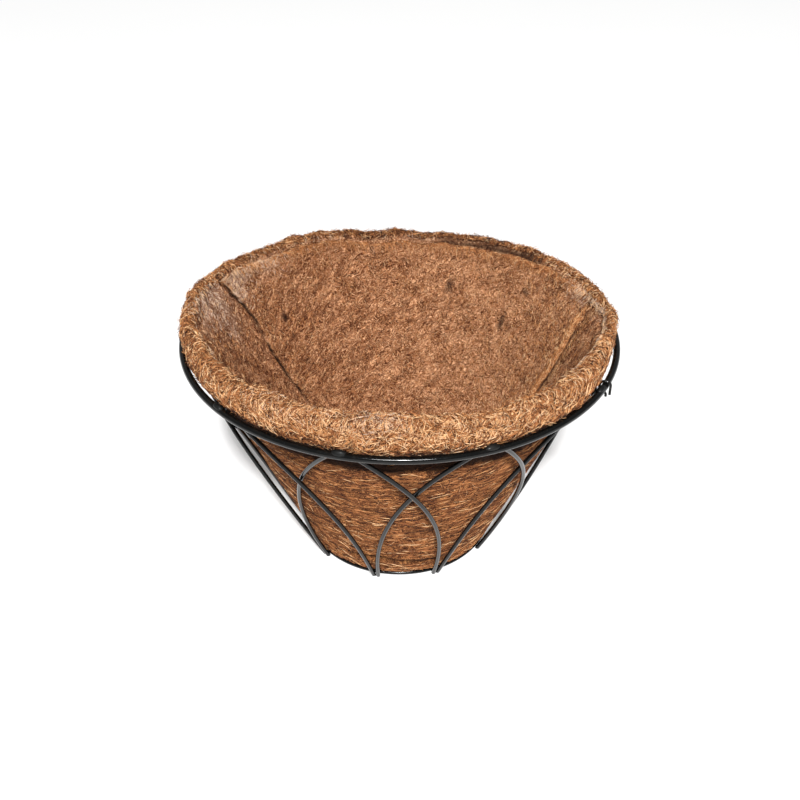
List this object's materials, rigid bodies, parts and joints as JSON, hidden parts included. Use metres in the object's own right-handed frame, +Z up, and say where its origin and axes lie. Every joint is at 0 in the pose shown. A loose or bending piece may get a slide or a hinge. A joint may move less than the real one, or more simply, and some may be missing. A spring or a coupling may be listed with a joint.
{
  "type": "hanging basket",
  "caption": "Round tapered hanging basket: black coated wire frame of crossing pointed arches between a rim ring and a base ring, with a thick loose coir fibre liner",
  "frame": {"origin": "on the floor under the middle of the basket, at the bottom centre of its box", "axes": "+Z up along the basket's own axis, front faces -Y, +X to the right seen from the front"},
  "size_m": [0.356, 0.356, 0.219],
  "materials": {
    "black_coated_wire": "gloss",
    "clip_wire": "satin",
    "coir_fibre": "rough fibre"
  },
  "bodies": {
    "frame": {"base_ring": "black_coated_wire", "frame_arch_01": "black_coated_wire", "frame_arch_02": "black_coated_wire", "frame_arch_03": "black_coated_wire", "frame_arch_04": "black_coated_wire", "frame_arch_05": "black_coated_wire", "frame_arch_06": "black_coated_wire", "frame_arch_07": "black_coated_wire", "frame_arch_08": "black_coated_wire", "frame_arch_09": "black_coated_wire", "frame_arch_10": "black_coated_wire", "rim_clip": "clip_wire", "rim_ring": "black_coated_wire"},
    "liner": {"coir_liner": "coir_fibre"}
  },
  "joints": [
    {"name": "liner_lift", "type": "slide", "parent": "frame", "child": "liner", "axis": [0, 0, 1], "range_m": [0, 0.23]}
  ]
}
